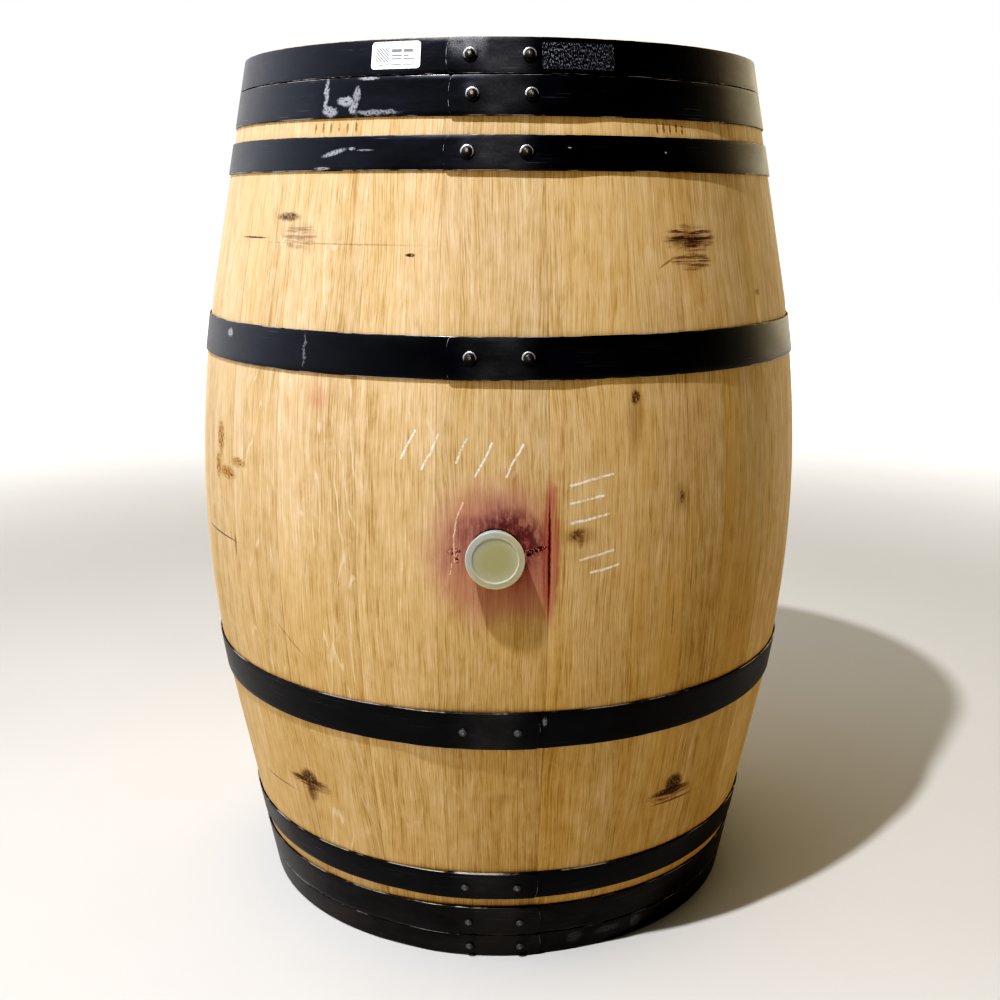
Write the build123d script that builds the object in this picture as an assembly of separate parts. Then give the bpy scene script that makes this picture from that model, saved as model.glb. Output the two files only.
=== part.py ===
from build123d import *
import math
import os

# A 225 litre oak wine barrel that stands on one head, in millimetres.
# Z is the barrel's axis and points up, z = 0 is the ring that the bottom chime stands on, and the bung points
# along -Y. Azimuths are in degrees about Z, 0 towards -Y and growing towards +X.

# The cask, on the outside of the wood
height = 950.0
bilge_radius = 350.0
end_radius = 282.3
bend_radius = 1288.0  # of the staves' curve at the bilge; towards the ends they run straight
mid_height = height / 2

# Staves: the bung stave first, then towards +X, as widths at the bilge
stave_widths = [
    109, 89, 62, 53, 74, 77, 76, 91, 68, 98, 79, 65, 94, 78,
    87, 72, 100, 74, 84, 67, 89, 79, 78, 92, 82, 101, 84,
]  # fmt: skip
first_joint = -9.35  # azimuth of the bung stave's joint on the -X side
stave_thickness = 27.0
edge_chamfer = 1.0  # outside edge of each stave end
chime_width = 13.0  # flat end of a stave, chamfer included
chime_depth = 22.0  # length of the bevel inside each end
croze_inset = 40.0  # from the stave's end to the middle of its groove
croze_width = 5.0
croze_depth = 5.0

# Heads
head_thickness = 22.0
head_above_croze = 8.0  # from the groove's middle to the outer face
tongue_length = 6.0
tongue_play = 0.2  # between the head's tongue and the groove
outer_bevel = 16.0
inner_bevel = 26.0
joint_gap = 1.0  # between two boards, filled with rush
rush_play = 0.05
dowel_radius = 4.0
dowel_length = 40.0
dowel_play = 0.1
dowel_spread = 0.55  # of the joint's half length
top_board_widths = [58, 84, 77, 92, 71, 88, 64]
bottom_board_widths = [66, 79, 90, 68, 86, 75, 70]

# Hoops: steel strip whose ends overlap and are riveted
strip_thickness = 1.8
strip_clearance = 0.1  # between the strip and the wood
lap_clearance = 0.1  # between the strip's two ends
lap_length = 100.0
ramp_length = 60.0  # along which the outer end rises over the inner end
lap_corner_radius = 5.0
rivet_spacing = 54.0
# name: (lowest z, highest z, azimuth of the lap's middle)
upper_hoops = {
    "top_head_hoop": (916.3, 949.0, 0.5),
    "top_collar_hoop": (879.0, 915.7, 0.9),
    "top_quarter_hoop": (830.0, 862.0, 0.0),
    "top_bilge_hoop": (640.0, 680.0, 0.5),
}
lower_hoops = {
    "bottom_bilge_hoop": (267.0, 308.0, -0.8),
    "bottom_quarter_hoop": (78.0, 111.0, -0.8),
    "bottom_collar_hoop": (29.3, 66.0, -0.2),
    "bottom_head_hoop": (1.2, 28.7, -0.1),
}

# Rivets
shank_radius = 2.5
rivet_play = 0.1
tail_radius = 4.0
tail_depth = 1.2
head_clearance = 0.05  # under a rivet's head, which is flat on a round hoop
upper_rivet_head = (6.6, 0.8, 4.0, 2.8)  # flange radius and height, nub radius and height
lower_rivet_head = (4.8, 0.8, 3.6, 2.2)

# Bung and its hole
bung_height = 473.5
bung_inner_end = 320.0  # from the barrel's axis
bung_outer_end = 368.0
bung_inner_radius = 20.5
bung_outer_radius = 28.5
bung_edge_radius = 1.6
bung_recess_radius = 22.0
bung_recess_depth = 2.0
bung_clearance = 0.3

# Sticker on the top head hoop
sticker_azimuths = (-24.2, -14.3)
sticker_heights = (921.5, 946.5)
sticker_thickness = 0.3
sticker_clearance = 0.05
sticker_corner_radius = 3.5

# The outside meridian is an arc about bend_centre, with straight runs tangent to it at both ends
bend_centre = bilge_radius - bend_radius
end_distance = math.hypot(end_radius - bend_centre, mid_height)
lean = math.atan2(mid_height, end_radius - bend_centre) - math.acos(bend_radius / end_distance)


def wood_radius(z, depth=0.0):
    """Radius at height z of the surface that lies depth below the outside of the wood, square to it."""
    away = abs(z - mid_height)
    radius = bend_radius - depth
    if away <= radius * math.sin(lean):
        return bend_centre + math.sqrt(radius**2 - away**2)
    return bend_centre + (radius - away * math.sin(lean)) / math.cos(lean)


def wood_lean(z):
    """Angle in radians by which the wood's outward normal points up at height z."""
    return max(-lean, min(lean, math.asin((z - mid_height) / bend_radius)))


croze_z = height - croze_inset  # of the top head's groove
croze_radius = wood_radius(croze_z, stave_thickness - croze_depth)


def at_azimuth(azimuth):
    """Turns what was made over the +X axis to an azimuth."""
    return Rot(0, 0, azimuth - 90)


def outward(azimuth, z, angle, radius):
    """A plane square to a surface at this radius, whose normal points outward and up by angle."""
    turn = math.radians(azimuth - 90)
    across = (math.cos(turn), math.sin(turn))
    normal = (across[0] * math.cos(angle), across[1] * math.cos(angle), math.sin(angle))
    return Plane(
        origin=(across[0] * radius, across[1] * radius, z),
        x_dir=(-across[1], across[0], 0),
        z_dir=normal,
    )


# --- Staves ---


def meridian_arc(depth):
    """The curved middle of a stave's outer or inner line, from low to high."""
    reach = (bend_radius - depth) * math.sin(lean)
    low, high = mid_height - reach, mid_height + reach
    radius = wood_radius(low, depth)
    return ThreePointArc((radius, low), (bilge_radius - depth, mid_height), (radius, high))


def stave_end(side):
    """Points round one end of a stave, from the outside in: chamfer, bevel and croze. side is 1 or -1."""

    def point(inset, depth):
        z = mid_height + side * (mid_height - inset)
        return (wood_radius(z, depth), z)

    end_z = point(0, 0)[1]
    near = point(croze_inset - croze_width / 2, stave_thickness)
    far = point(croze_inset + croze_width / 2, stave_thickness)
    return [
        point(edge_chamfer, 0),
        (end_radius - edge_chamfer, end_z),
        (end_radius - chime_width, end_z),
        point(chime_depth, stave_thickness),
        near,
        (croze_radius, near[1]),
        (croze_radius, far[1]),
        far,
    ]


def stave_section():
    """Section of a stave in the XZ plane, on the +X side."""
    outside, inside = meridian_arc(0), meridian_arc(stave_thickness)
    bottom = Polyline(outside @ 0, *stave_end(-1), inside @ 0)
    top = Polyline(outside @ 1, *stave_end(1), inside @ 1)
    return Plane.XZ * make_face([*outside.edges(), *inside.edges(), *bottom.edges(), *top.edges()])


def make_staves():
    """Each stave is a wedge of the cask between two radial joints."""
    section = stave_section()
    staves = {}
    azimuth = first_joint
    for number, width in enumerate(stave_widths, 1):
        sector = 360 * width / sum(stave_widths)
        name = "bung_stave" if number == 1 else f"stave_{number:02d}"
        staves[name] = at_azimuth(azimuth) * revolve(section, Axis.Z, sector)
        azimuth += sector
    staves["bung_stave"] -= bung_cone(bung_clearance, stave_thickness)
    return staves


# --- Heads ---


def head_disc(play):
    """The whole top head, smaller all round by play, with a tongue at the height of the croze."""
    rim = croze_radius - tongue_play - play
    root = rim - tongue_length
    outer_z = croze_z + head_above_croze - play
    inner_z = croze_z + head_above_croze - head_thickness + play
    half_tongue = croze_width / 2 - tongue_play - play
    outline = [
        (0, inner_z),
        (root - inner_bevel, inner_z),
        (root, croze_z - half_tongue),
        (rim, croze_z - half_tongue),
        (rim, croze_z + half_tongue),
        (root, croze_z + half_tongue),
        (root - outer_bevel, outer_z),
        (0, outer_z),
    ]
    return revolve(Plane.XZ * Polygon(*outline, align=None), Axis.Z)


def make_head(board_widths, prefix):
    """Boards across the Y axis, dowels and rush in their joints, for a head at the top of the barrel."""
    rim = croze_radius - tongue_play
    centre_z = croze_z + head_above_croze - head_thickness / 2
    scale = 2 * rim / sum(board_widths)
    edges = [-rim]
    for width in board_widths:
        edges.append(edges[-1] + width * scale)
    joints = edges[1:-1]

    def slab(low, high):
        return Pos(0, (low + high) / 2, centre_z) * Box(3 * rim, high - low, 2 * head_thickness)

    def rods(radius, length):
        for y in joints:
            x = dowel_spread * math.sqrt(rim**2 - y**2)
            for side in (-1, 1):
                yield Pos(side * x, y, centre_z) * Rot(90, 0, 0) * Cylinder(radius, length)

    holes = list(rods(dowel_radius + dowel_play, dowel_length + 2))
    disc, rush_disc = head_disc(0), head_disc(rush_play)
    half_rush = joint_gap / 2 - rush_play
    pieces = {}
    for number, (low, high) in enumerate(zip(edges, edges[1:]), 1):
        board = disc & slab(low + joint_gap / 2, high - joint_gap / 2)
        pieces[f"{prefix}_head_board_{number}"] = board - holes
    strips = [(rush_disc & slab(y - half_rush, y + half_rush)) - holes for y in joints]
    pieces[f"{prefix}_head_rush"] = Compound(strips)
    pieces[f"{prefix}_head_dowels"] = Compound(list(rods(dowel_radius, dowel_length)))
    return pieces


# --- Hoops and rivets ---


def strip_section(low, high, inner, outer):
    """Corners of a strip that lies along the wood, from inner to outer above it, as (offset from the wood's
    radius at its middle, z)."""
    middle = (low + high) / 2
    angle = wood_lean(middle)
    half = (high - low) / 2 / math.cos(angle)
    across, up = math.cos(angle), math.sin(angle)
    return [
        (above * across - reach * up, middle + above * up + reach * across)
        for above, reach in ((inner, -half), (outer, -half), (outer, half), (inner, half))
    ]


def turned_strip(section, radius, centre, start, sweep):
    """Part of a strip, turned by sweep degrees about a vertical line through centre."""
    face = Plane.XZ * Polygon(*[(radius + out, z) for out, z in section], align=None)
    return Pos(*centre, 0) * Rot(0, 0, start) * revolve(face, Axis.Z, sweep)


def along(angle, distance):
    """A point at this distance from the axis, at angle degrees from +X."""
    return Vector(distance * math.cos(math.radians(angle)), distance * math.sin(math.radians(angle)))


def lap_planes(low, high, lap_azimuth):
    """Where a hoop's two rivets stand: on the wood, with Z outward."""
    middle = (low + high) / 2
    radius = wood_radius(middle)
    step = math.degrees(rivet_spacing / 2 / radius)
    return [outward(lap_azimuth + side * step, middle, wood_lean(middle), radius) for side in (-1, 1)]


def make_hoop(low, high, lap_azimuth, lap_side):
    """A strip that goes once round, then rises over its own inner end and laps it. The outer end points
    towards growing azimuth where lap_side is 1, and the other way where it is -1."""
    middle = (low + high) / 2
    radius = wood_radius(middle)
    section = strip_section(low, high, strip_clearance, strip_clearance + strip_thickness)
    rise = (strip_thickness + lap_clearance) / math.cos(wood_lean(middle))
    lap_radius = radius + rise

    # the rise is an arc flatter than the hoop, then a tighter one, tangent to each other and to both circles
    bend = 4 * rise / ramp_length**2
    flat, tight = 1 / (1 / radius - bend), 1 / (1 / lap_radius + bend)
    a, b, c = flat - radius, lap_radius - tight, flat - tight
    flat_sweep = math.degrees(math.acos((a * a + c * c - b * b) / (2 * a * c)))
    tight_sweep = math.degrees(math.acos((b * b + c * c - a * a) / (2 * b * c)))
    main_sweep = 360 - flat_sweep - tight_sweep
    lap_sweep = math.degrees(lap_length / lap_radius)
    turn = main_sweep + flat_sweep
    flat_centre = along(main_sweep, -a)
    tight_centre = flat_centre + along(turn, c)

    lap = turned_strip(section, lap_radius, (0, 0), 0, lap_sweep)
    end = lap.faces().filter_by(GeomType.PLANE).sort_by(Axis.Y)[-1]
    corners = [edge for edge in end.edges() if abs(edge.length - strip_thickness) < 0.01]
    hoop = (
        turned_strip(section, radius, (0, 0), 0, main_sweep)
        + turned_strip(section, flat, (flat_centre.X, flat_centre.Y), main_sweep, flat_sweep)
        + turned_strip(section, tight, (tight_centre.X, tight_centre.Y), turn, tight_sweep)
        + fillet(corners, lap_corner_radius)
    )
    if lap_side < 0:
        hoop = mirror(hoop, about=Plane.XZ)
    hoop = at_azimuth(lap_azimuth - lap_side * lap_sweep / 2) * hoop
    return hoop - [plane * rivet_hole() for plane in lap_planes(low, high, lap_azimuth)]


def lap_outside():
    """Height of a lap's outer face above the wood."""
    return strip_clearance + 2 * strip_thickness + lap_clearance


def rivet_hole():
    """Clearance for a rivet's shank and its countersunk tail, above the wood."""
    tail_top = strip_clearance + tail_depth
    wide, narrow = tail_radius + rivet_play, shank_radius + rivet_play
    outline = [(0, 0), (wide, 0), (wide, strip_clearance), (narrow, tail_top)]
    outline += [(narrow, lap_outside() + 1), (0, lap_outside() + 1)]
    return revolve(Plane.XZ * Polygon(*outline, align=None), Axis.Z)


def rivet(flange_radius, flange_height, nub_radius, nub_height):
    """A rivet with a flush countersunk tail and a wide flat head with a nub, above the wood."""
    seat = lap_outside() + head_clearance
    flange, nub = seat + flange_height, seat + nub_height
    body = Polyline(
        (0, nub),
        (0, strip_clearance),
        (tail_radius, strip_clearance),
        (shank_radius, strip_clearance + tail_depth),
        (shank_radius, seat),
        (flange_radius, seat),
        (flange_radius, seat + flange_height / 2),
    )
    brim = Line((flange_radius, seat + flange_height / 2), (nub_radius, flange))
    dome_radius = (nub_radius**2 + (nub - flange) ** 2) / (2 * (nub - flange))
    dome_centre = nub - dome_radius
    dome_start = math.degrees(math.atan2(flange - dome_centre, nub_radius))
    dome = CenterArc((0, dome_centre), dome_radius, dome_start, 90 - dome_start)
    return revolve(Plane.XZ * make_face([*body.edges(), *brim.edges(), *dome.edges()]), Axis.Z)


def make_hoops():
    pieces = {}
    for hoops, lap_side in ((upper_hoops, -1), (lower_hoops, 1)):
        for name, place in hoops.items():
            pieces[name] = make_hoop(*place, lap_side)
    for name, hoops, head in (
        ("top_rivets", upper_hoops, upper_rivet_head),
        ("bottom_rivets", lower_hoops, lower_rivet_head),
    ):
        planes = [plane for place in hoops.values() for plane in lap_planes(*place)]
        pieces[name] = Compound([plane * rivet(*head) for plane in planes])
    return pieces


def make_sticker():
    """A thin sticker on the outside of the top head hoop."""
    start, end = sticker_azimuths
    low, high = sticker_heights
    seat = strip_clearance + strip_thickness + sticker_clearance
    section = strip_section(low, high, seat, seat + sticker_thickness)
    sticker = turned_strip(section, wood_radius((low + high) / 2), (0, 0), 0, end - start)
    corners = [edge for edge in sticker.edges() if abs(edge.length - sticker_thickness) < 0.01]
    return at_azimuth(start) * fillet(corners, sticker_corner_radius)


# --- Bung ---


def bung_cone(clearance, extra):
    """The bung's taper, wider by clearance and longer by extra at both ends."""
    taper = (bung_outer_radius - bung_inner_radius) / (bung_outer_end - bung_inner_end)
    length = bung_outer_end - bung_inner_end + 2 * extra
    inner = bung_inner_radius + clearance - extra * taper
    outer = bung_outer_radius + clearance + extra * taper
    cone = Cone(inner, outer, length, align=(Align.CENTER, Align.CENTER, Align.MIN))
    return outward(0, bung_height, 0, bung_inner_end - extra) * cone


def make_bung():
    """A tapered stopper with rounded edges and a shallow round recess in its face."""
    bung = fillet(bung_cone(0, 0).edges().filter_by(GeomType.CIRCLE), bung_edge_radius)
    recess = Cylinder(bung_recess_radius, bung_recess_depth, align=(Align.CENTER, Align.CENTER, Align.MAX))
    return bung - outward(0, bung_height, 0, bung_outer_end) * recess


os.makedirs("parts", exist_ok=True)
nodes = make_staves() | make_hoops()
nodes |= make_head(top_board_widths, "top")
for name, piece in make_head(bottom_board_widths, "bottom").items():
    nodes[name] = mirror(piece, about=Plane.XY.offset(mid_height))
nodes["bung"] = make_bung()
nodes["hoop_sticker"] = make_sticker()
for name, piece in nodes.items():
    export_step(piece, f"parts/{name}.step")
print(len(nodes), "nodes")
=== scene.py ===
import math
import random

import bmesh
import bpy
import numpy as np
from mathutils import Matrix, Vector, noise


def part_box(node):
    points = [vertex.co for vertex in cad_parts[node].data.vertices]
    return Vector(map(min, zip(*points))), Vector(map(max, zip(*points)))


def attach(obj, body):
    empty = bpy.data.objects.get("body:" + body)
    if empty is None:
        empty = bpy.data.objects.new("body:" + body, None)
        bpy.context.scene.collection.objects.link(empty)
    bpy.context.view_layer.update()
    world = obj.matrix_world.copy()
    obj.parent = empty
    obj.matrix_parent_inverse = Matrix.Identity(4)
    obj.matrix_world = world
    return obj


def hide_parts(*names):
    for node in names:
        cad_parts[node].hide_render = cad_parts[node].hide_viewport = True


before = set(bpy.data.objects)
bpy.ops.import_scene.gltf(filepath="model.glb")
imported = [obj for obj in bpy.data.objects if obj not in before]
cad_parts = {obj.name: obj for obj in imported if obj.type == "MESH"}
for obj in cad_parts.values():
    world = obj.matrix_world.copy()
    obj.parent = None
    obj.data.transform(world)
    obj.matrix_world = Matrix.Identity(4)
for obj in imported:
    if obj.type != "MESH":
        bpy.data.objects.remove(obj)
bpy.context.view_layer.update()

# Metres, in the frame of the CAD model: Z up along the barrel's axis, the bung towards -Y. Azimuths are in
# degrees about Z, 0 towards -Y and growing towards +X.
MM = 0.001

# --- The cask's shape ---

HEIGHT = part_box("bung_stave")[1].z
MIDDLE = HEIGHT / 2
BILGE_RADIUS = 350 * MM
END_RADIUS = 282.3 * MM
BEND_RADIUS = 1288 * MM
THICKNESS = 27 * MM
CHIME_WIDTH = 13 * MM
CHIME_DEPTH = 22 * MM
CROZE_INSET = 40 * MM
CROZE_HALF = 2.5 * MM
CROZE_DEPTH = 5 * MM
# The outside is an arc about BEND_CENTRE that runs on straight, at the angle LEAN, to both ends
BEND_CENTRE = BILGE_RADIUS - BEND_RADIUS
LEAN = math.atan2(MIDDLE, END_RADIUS - BEND_CENTRE) - math.acos(
    BEND_RADIUS / math.hypot(END_RADIUS - BEND_CENTRE, MIDDLE)
)
BUNG_Z = (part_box("bung")[0].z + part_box("bung")[1].z) / 2
BUNG_FACE = -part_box("bung")[0].y
BUNG_END = -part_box("bung")[1].y
BUNG_FACE_RADIUS = 28.5 * MM
BUNG_END_RADIUS = 20.5 * MM
BUNG_PLAY = 0.3 * MM

# Hoops: the lap's middle azimuth, and the side that its outer end points to
HOOPS = {
    "top_head_hoop": (0.5, -1),
    "top_collar_hoop": (0.9, -1),
    "top_quarter_hoop": (0.0, -1),
    "top_bilge_hoop": (0.5, -1),
    "bottom_bilge_hoop": (-0.8, 1),
    "bottom_quarter_hoop": (-0.8, 1),
    "bottom_collar_hoop": (-0.2, 1),
    "bottom_head_hoop": (-0.1, 1),
}
STRIP = 1.8 * MM
STRIP_PLAY = 0.1 * MM
LAP_PLAY = 0.1 * MM
LAP_LENGTH = 100 * MM
RAMP_LENGTH = 60 * MM
RIVET_STEP = 27 * MM  # from the lap's middle to each rivet
RIVET_BULGE = 1.6 * MM  # of the strip round a rivet
RIVET_BULGE_RADIUS = 8.5 * MM


def wood_radius(z, depth=0.0):
    """Radius at height z of the surface that lies depth below the outside of the wood."""
    away = abs(z - MIDDLE)
    radius = BEND_RADIUS - depth
    if away <= radius * math.sin(LEAN):
        return BEND_CENTRE + math.sqrt(radius**2 - away**2)
    return BEND_CENTRE + (radius - away * math.sin(LEAN)) / math.cos(LEAN)


def wood_lean(z):
    """Angle by which the wood's outward normal points up at height z."""
    return max(-LEAN, min(LEAN, math.asin((z - MIDDLE) / BEND_RADIUS)))


def around(azimuth, radius, z):
    turn = math.radians(azimuth)
    return (radius * math.sin(turn), -radius * math.cos(turn), z)


def azimuth_of(x, y):
    return math.degrees(math.atan2(x, -y))


def arc(azimuth):
    """Distance round the bilge from azimuth 0."""
    return math.radians(azimuth) * BILGE_RADIUS


# --- Materials, from small expressions over shader nodes ---


class Value:
    """A node's output that can be added, multiplied and so on."""

    def __init__(self, graph, socket):
        self.graph = graph
        self.socket = socket

    def __add__(self, other):
        return self.graph.math("ADD", self, other)

    def __sub__(self, other):
        return self.graph.math("SUBTRACT", self, other)

    def __rsub__(self, other):
        return self.graph.math("SUBTRACT", other, self)

    def __mul__(self, other):
        return self.graph.math("MULTIPLY", self, other)

    def __truediv__(self, other):
        return self.graph.math("DIVIDE", self, other)

    __radd__ = __add__
    __rmul__ = __mul__

    def absolute(self):
        return self.graph.math("ABSOLUTE", self)

    def at_most(self, other):
        return self.graph.math("MINIMUM", self, other)

    def at_least(self, other):
        return self.graph.math("MAXIMUM", self, other)

    def rises(self, low, high):
        """0 below low, 1 above high, smooth between them. With low above high it falls."""
        return self.graph.smooth(self, low, high)


def new_node(tree, kind, **settings):
    node = tree.nodes.new(kind)
    for setting, value in settings.items():
        setattr(node, setting, value)
    return node


class Graph:
    """A material and the expressions that make it up."""

    def __init__(self, name, **settings):
        self.material = bpy.data.materials.new(name)
        self.material.use_nodes = True
        self.tree = self.material.node_tree
        self.tree.nodes.clear()
        self.shader = new_node(self.tree, "ShaderNodeBsdfPrincipled")
        output = new_node(self.tree, "ShaderNodeOutputMaterial")
        self.tree.links.new(self.shader.outputs[0], output.inputs[0])
        for socket, value in settings.items():
            self.shader.inputs[socket.replace("_", " ")].default_value = value

    def put(self, value, socket):
        if isinstance(value, Value):
            self.tree.links.new(value.socket, socket)
        elif isinstance(value, (tuple, list)) and len(value) == 3 and len(socket.default_value) == 4:
            socket.default_value = (*value, 1)
        else:
            socket.default_value = value

    def drive(self, **sockets):
        """Connects expressions to the shader's sockets."""
        for name, value in sockets.items():
            self.put(value, self.shader.inputs[name.replace("_", " ")])

    def math(self, operation, *values):
        node = new_node(self.tree, "ShaderNodeMath", operation=operation)
        for value, socket in zip(values, node.inputs):
            self.put(value, socket)
        return Value(self, node.outputs[0])

    def smooth(self, value, low, high):
        node = new_node(self.tree, "ShaderNodeMapRange", interpolation_type="SMOOTHSTEP")
        self.put(value, node.inputs["Value"])
        start, end = (0, 1) if low < high else (1, 0)
        reach = {"From Min": min(low, high), "From Max": max(low, high), "To Min": start, "To Max": end}
        for socket, number in reach.items():
            node.inputs[socket].default_value = number
        return Value(self, node.outputs["Result"])

    def attribute(self, name, output="Vector"):
        node = new_node(self.tree, "ShaderNodeAttribute", attribute_name=name)
        return Value(self, node.outputs[output])

    def split(self, vector):
        node = new_node(self.tree, "ShaderNodeSeparateXYZ")
        self.put(vector, node.inputs[0])
        return [Value(self, output) for output in node.outputs]

    def join(self, x, y, z):
        node = new_node(self.tree, "ShaderNodeCombineXYZ")
        for value, socket in zip((x, y, z), node.inputs):
            self.put(value, socket)
        return Value(self, node.outputs[0])

    def scaled(self, vector, factors):
        """A vector or colour times three constants."""
        node = new_node(self.tree, "ShaderNodeVectorMath", operation="MULTIPLY")
        self.put(vector, node.inputs[0])
        node.inputs[1].default_value = factors
        return Value(self, node.outputs[0])

    def dimmed(self, colour, amount):
        """A colour times one expression."""
        node = new_node(self.tree, "ShaderNodeVectorMath", operation="SCALE")
        self.put(colour, node.inputs[0])
        self.put(amount, node.inputs["Scale"])
        return Value(self, node.outputs[0])

    def place(self):
        """Where a point is in the frame, at rest: the pieces' objects sit at its origin."""
        node = new_node(self.tree, "ShaderNodeTexCoord")
        return Value(self, node.outputs["Object"])

    def noise(self, vector, scale, detail=2.0, roughness=0.5, distortion=0.0):
        """Noise of about 0 to 1 whose features are about 1/scale metres across, per axis."""
        node = new_node(self.tree, "ShaderNodeTexNoise")
        self.put(self.scaled(vector, scale), node.inputs["Vector"])
        settings = {"Scale": 1.0, "Detail": detail, "Roughness": roughness, "Distortion": distortion}
        for socket, number in settings.items():
            node.inputs[socket].default_value = number
        return Value(self, node.outputs["Fac"])

    def mix(self, amount, first, second):
        node = new_node(self.tree, "ShaderNodeMix", data_type="RGBA")
        self.put(amount, node.inputs[0])
        self.put(first, node.inputs[6])
        self.put(second, node.inputs[7])
        return Value(self, node.outputs[2])

    def bump(self, height, distance, strength=1.0):
        node = new_node(self.tree, "ShaderNodeBump")
        self.put(height, node.inputs["Height"])
        node.inputs["Distance"].default_value = distance
        node.inputs["Strength"].default_value = strength
        self.tree.links.new(node.outputs[0], self.shader.inputs["Normal"])

    def facing(self, axis):
        """How much the surface faces along an axis, either way, from 0 to 1."""
        node = new_node(self.tree, "ShaderNodeNewGeometry")
        return self.split(Value(self, node.outputs["Normal"]))[axis].absolute()


class Marks:
    """Masks for marks at known places: azimuths in degrees, heights and sizes in millimetres."""

    def __init__(self, graph, place, wobble):
        across, up, _ = graph.split(place)
        self.graph = graph
        self.x = across * (1 / MM) + wobble
        self.y = up * (1 / MM) + wobble * 0.7

    def spot(self, azimuth, z, half_width, half_height, soft=0.5, turn=0.0):
        """An ellipse, 1 inside and fading over the share soft of its size."""
        dx, dy = self.x - degrees_mm(azimuth), self.y - z
        if turn:
            c, s = math.cos(math.radians(turn)), math.sin(math.radians(turn))
            dx, dy = dx * c + dy * s, dy * c - dx * s
        dx, dy = dx / half_width, dy / half_height
        reach = self.graph.math("SQRT", dx * dx + dy * dy)
        return reach.rises(1 + soft / 2, 1 - soft / 2)

    def stroke(self, start, end, width, soft=0.6):
        """A straight line of this width between two points in millimetres."""
        (x0, y0), (x1, y1) = start, end
        length = math.hypot(x1 - x0, y1 - y0)
        ux, uy = (x1 - x0) / length, (y1 - y0) / length
        dx, dy = self.x - x0, self.y - y0
        along = dx * ux + dy * uy
        beyond = (along * -1).at_least(along - length).at_least(0.0)
        aside = dy * ux - dx * uy
        reach = self.graph.math("SQRT", beyond * beyond + aside * aside) / (width / 2)
        return reach.rises(1 + soft / 2, 1 - soft / 2)

    def block(self, x0, x1, y0, y1, soft=0.2):
        """A rectangle in millimetres whose edges fade over soft."""
        inside = (self.x - (x0 + x1) / 2).absolute().rises((x1 - x0) / 2 + soft, (x1 - x0) / 2 - soft)
        return inside * (self.y - (y0 + y1) / 2).absolute().rises((y1 - y0) / 2 + soft, (y1 - y0) / 2 - soft)

    def box(self, start, end, y0, y1):
        """A rectangle between two azimuths and two heights."""
        return self.block(degrees_mm(start), degrees_mm(end), y0, y1)


def largest(*masks):
    result = masks[0]
    for mask in masks[1:]:
        result = result.at_least(mask)
    return result


def degrees_mm(azimuth):
    """An azimuth as millimetres round the bilge."""
    return arc(azimuth) / MM


# --- Meshes ---


def add_piece(name, corners, faces):
    """A new object from a mesh in the frame's own coordinates."""
    mesh = bpy.data.meshes.new(name)
    mesh.from_pydata([tuple(corner) for corner in corners], [], faces)
    tidy = bmesh.new()
    tidy.from_mesh(mesh)
    bmesh.ops.recalc_face_normals(tidy, faces=tidy.faces)
    tidy.to_mesh(mesh)
    tidy.free()
    piece = bpy.data.objects.new(name, mesh)
    bpy.context.scene.collection.objects.link(piece)
    return piece


def loft(rows):
    """Corners and faces of a closed skin through rows of equally many points, with a cap at each end."""
    count = len(rows[0])
    faces = []
    for row in range(len(rows) - 1):
        low, high = row * count, (row + 1) * count
        for column in range(count):
            following = (column + 1) % count
            faces.append((low + column, low + following, high + following, high + column))
    faces.append(tuple(reversed(range(count))))
    faces.append(tuple(range((len(rows) - 1) * count, len(rows) * count)))
    return [point for row in rows for point in row], faces


def lathe(profile, steps, place):
    """A closed solid turned from a profile of (radius, height) that starts and ends on its axis. place
    moves a point (x, y, height) to the frame."""
    corners = [place(0, 0, profile[0][1])]
    for radius, height in profile[1:-1]:
        for step in range(steps):
            turn = 2 * math.pi * step / steps
            corners.append(place(radius * math.cos(turn), radius * math.sin(turn), height))
    corners.append(place(0, 0, profile[-1][1]))
    rings = len(profile) - 2
    faces = []
    for step in range(steps):
        following = (step + 1) % steps
        faces.append((0, 1 + following, 1 + step))
        for ring in range(rings - 1):
            low, high = 1 + ring * steps, 1 + (ring + 1) * steps
            faces.append((low + step, low + following, high + following, high + step))
        top = 1 + (rings - 1) * steps
        faces.append((top + step, top + following, len(corners) - 1))
    return corners, faces


def rounded(corner_radius, centre, start, end, steps):
    """Points on an arc, in degrees, about a centre."""
    turns = [math.radians(start + (end - start) * step / steps) for step in range(steps + 1)]
    return [(centre[0] + corner_radius * math.cos(t), centre[1] + corner_radius * math.sin(t)) for t in turns]


def cut(piece, tool, operation="DIFFERENCE"):
    """Cuts a piece with another closed mesh, which is used up."""
    modifier = piece.modifiers.new("cut", "BOOLEAN")
    modifier.operation = operation
    modifier.solver = "EXACT"
    modifier.object = tool
    evaluated = piece.evaluated_get(bpy.context.evaluated_depsgraph_get())
    result = bpy.data.meshes.new_from_object(evaluated)
    piece.modifiers.clear()
    old = piece.data
    piece.data = result
    result.name = piece.name
    bpy.data.meshes.remove(old)
    bpy.data.objects.remove(tool)


def sharpen(piece, angle=35):
    """Smooth shading that stops at edges sharper than angle."""
    piece.data.shade_smooth()
    piece.data.set_sharp_from_angle(angle=math.radians(angle))


def tag(piece, name, values, kind="FLOAT_VECTOR"):
    """Stores a value for each point of a piece, for its material."""
    attribute = piece.data.attributes.new(name, kind, "POINT")
    key = "vector" if kind == "FLOAT_VECTOR" else "value"
    attribute.data.foreach_set(key, np.asarray(values, np.float32).ravel())


def points_of(mesh):
    flat = np.zeros(len(mesh.vertices) * 3)
    mesh.vertices.foreach_get("co", flat)
    return flat.reshape(-1, 3)


def rough(x, y, z=0.0):
    """Smooth noise from -1 to 1."""
    return noise.noise(Vector((x, y, z)))


# --- Staves ---

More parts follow.
